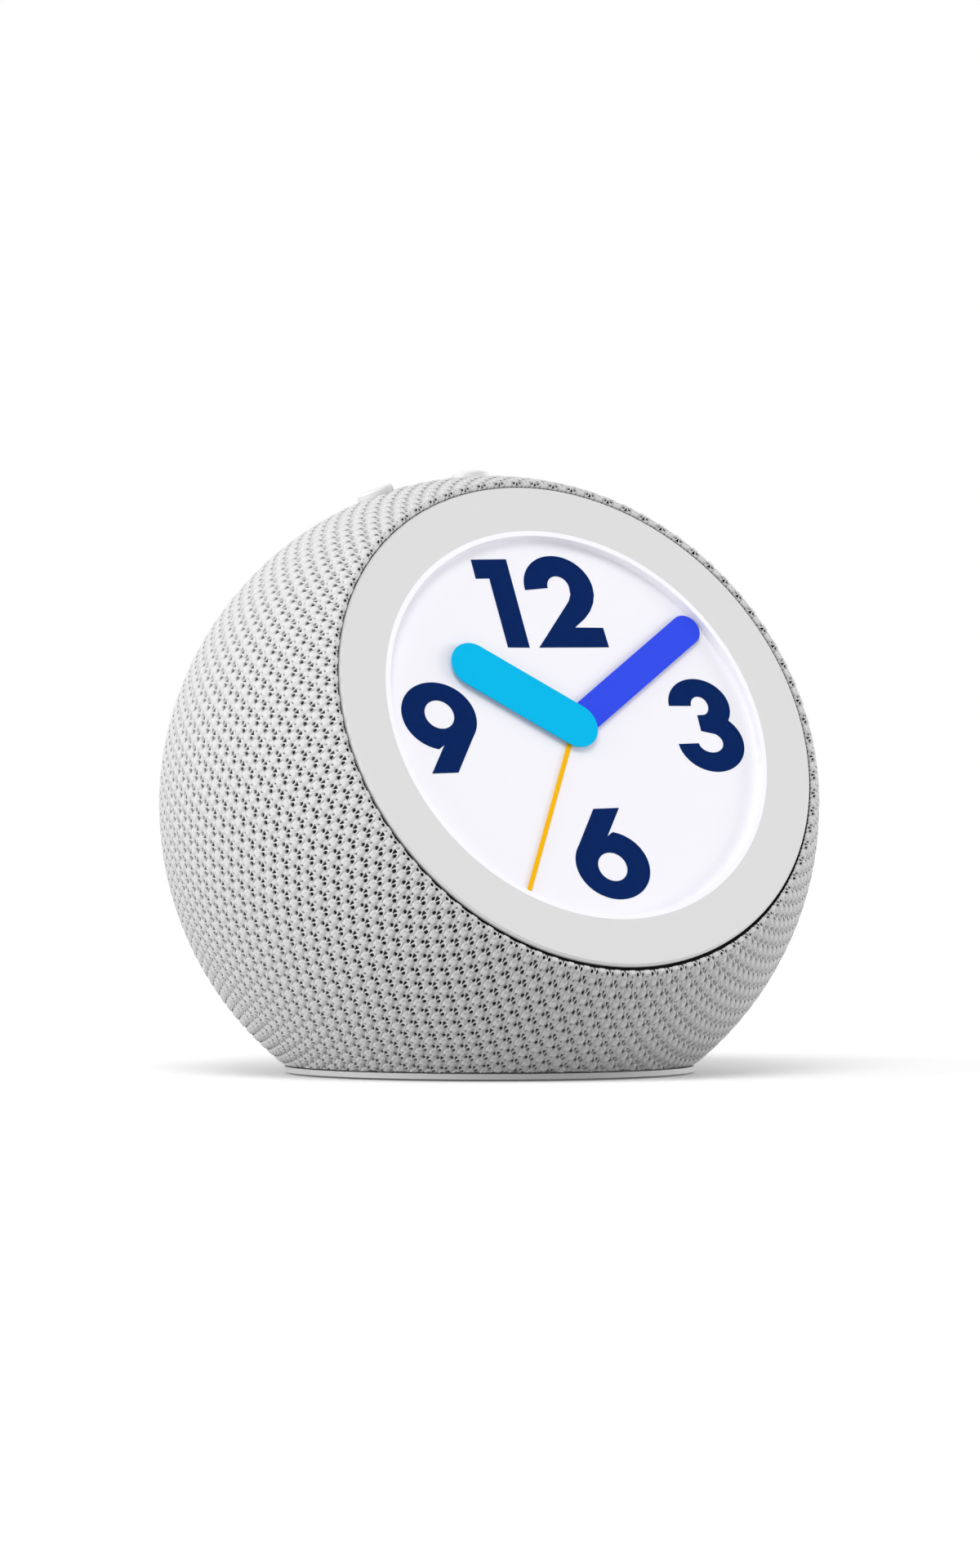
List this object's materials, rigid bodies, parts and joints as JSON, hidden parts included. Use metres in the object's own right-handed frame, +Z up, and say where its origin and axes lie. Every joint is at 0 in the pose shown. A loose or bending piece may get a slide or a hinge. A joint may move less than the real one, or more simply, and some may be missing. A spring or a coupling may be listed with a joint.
{
  "type": "talking clock",
  "caption": "Knit-clad ball table clock with a round dial on a leaning flat face, coloured hands, push buttons on top, a speaker inside and a power inlet behind.",
  "frame": {"origin": "centre of the foot pad's underside, on the ball's vertical axis", "axes": "+Z up, the dial looks towards -Y and leans back 25 degrees, +X to the reader's right"},
  "size_m": [0.1, 0.0935, 0.0911],
  "materials": {
    "knit_fabric": "openwork knit, light grey yarn",
    "housing_plastic": "dark moulded shell under the knit",
    "bezel_plastic": "smooth satin light grey",
    "lens_clear": "clear, polished",
    "dial_white": "white, fine matt print",
    "frame_plastic": "moulded, matt",
    "hour_lacquer": "cyan lacquer",
    "minute_lacquer": "blue lacquer",
    "second_lacquer": "amber lacquer",
    "arbor_brass": "turned",
    "wheel_plastic": "moulded acetal",
    "movement_plastic": "moulded, matt",
    "button_plastic": "smooth satin light grey",
    "switch_black": "moulded",
    "plunger_plastic": "moulded",
    "carrier_plastic": "moulded, matt",
    "basket_steel": "black lacquered pressing",
    "ferrite": "sintered ferrite",
    "plated_steel": "zinc plated",
    "cone_pulp": "pressed pulp",
    "coil_copper": "enamelled winding",
    "soft_rubber": "butyl roll",
    "foam": "closed-cell foam",
    "spider_cloth": "resin-dipped cloth",
    "base_plastic": "smooth satin light grey",
    "foot_rubber": "soft, matt",
    "board_green": "solder mask",
    "jack_black": "moulded"
  },
  "bodies": {
    "case": {"knit_cover": "knit_fabric", "upper_housing": "housing_plastic", "lower_housing": "housing_plastic", "bezel_ring": "bezel_plastic", "lens": "lens_clear", "dial_rim": "dial_white", "dial_plate": "dial_white", "front_frame": "frame_plastic", "frame_screws": "plated_steel", "movement_base": "movement_plastic", "movement_bridge": "movement_plastic", "movement_cover": "movement_plastic", "movement_screws": "plated_steel", "button_switches": "switch_black", "button_carrier": "carrier_plastic", "carrier_screws": "plated_steel", "speaker_basket": "basket_steel", "speaker_gasket": "foam", "speaker_yoke": "plated_steel", "speaker_surround": "soft_rubber", "speaker_spider": "spider_cloth", "speaker_screws": "plated_steel", "speaker_top_plate": "plated_steel", "speaker_magnet": "ferrite", "base_plate": "base_plastic", "foot_pad": "foot_rubber", "base_screws": "plated_steel", "main_board": "board_green", "board_screws": "plated_steel", "dc_jack": "jack_black", "port_surround": "base_plastic"},
    "volume_down": {"volume_down_button": "button_plastic", "volume_down_plunger": "plunger_plastic"},
    "speak": {"speak_button": "button_plastic", "speak_plunger": "plunger_plastic"},
    "volume_up": {"volume_up_button": "button_plastic", "volume_up_plunger": "plunger_plastic"},
    "hour": {"hour_hand": "hour_lacquer", "hour_arbor": "arbor_brass"},
    "minute": {"minute_hand": "minute_lacquer", "minute_pipe": "arbor_brass"},
    "second": {"second_hand": "second_lacquer", "second_pipe": "wheel_plastic"},
    "motion_wheel": {"minute_wheel": "wheel_plastic"},
    "diaphragm": {"speaker_cone": "cone_pulp", "speaker_dust_cap": "cone_pulp", "voice_coil": "coil_copper"}
  },
  "joints": [
    {"name": "minute_turn", "type": "hinge", "parent": "case", "child": "minute", "pos_m": [0, 0, 0.0403], "axis": [0, 0.9052, -0.425], "continuous": true},
    {"name": "hour_turn", "type": "hinge", "parent": "case", "child": "hour", "pos_m": [0, 0, 0.0403], "axis": [0, 0.9052, -0.425], "continuous": true},
    {"name": "motion_wheel_turn", "type": "hinge", "parent": "case", "child": "motion_wheel", "pos_m": [0, -0.00255, 0.03487], "axis": [0, 0.9052, -0.425], "continuous": true},
    {"name": "second_turn", "type": "hinge", "parent": "case", "child": "second", "pos_m": [0, 0, 0.0403], "axis": [0, 0.9052, -0.425], "continuous": true},
    {"name": "cone_stroke", "type": "slide", "parent": "case", "child": "diaphragm", "axis": [0, 1, 0], "range_m": [-0.001, 0.001], "stiffness_N_per_m": 1200},
    {"name": "volume_down_press", "type": "slide", "parent": "case", "child": "volume_down", "axis": [0.3283, -0.1149, -0.9375], "range_m": [0, 0.0003], "stiffness_N_per_m": 2500, "springref_m": -0.0001},
    {"name": "speak_press", "type": "slide", "parent": "case", "child": "speak", "axis": [0, -0.1149, -0.9934], "range_m": [0, 0.0003], "stiffness_N_per_m": 2500, "springref_m": -0.0001},
    {"name": "volume_up_press", "type": "slide", "parent": "case", "child": "volume_up", "axis": [-0.3283, -0.1149, -0.9375], "range_m": [0, 0.0003], "stiffness_N_per_m": 2500, "springref_m": -0.0001}
  ],
  "couplings": [
    {"joint": "hour_turn", "follows": "minute_turn", "ratio": 0.083333},
    {"joint": "motion_wheel_turn", "follows": "minute_turn", "ratio": -0.33333}
  ]
}
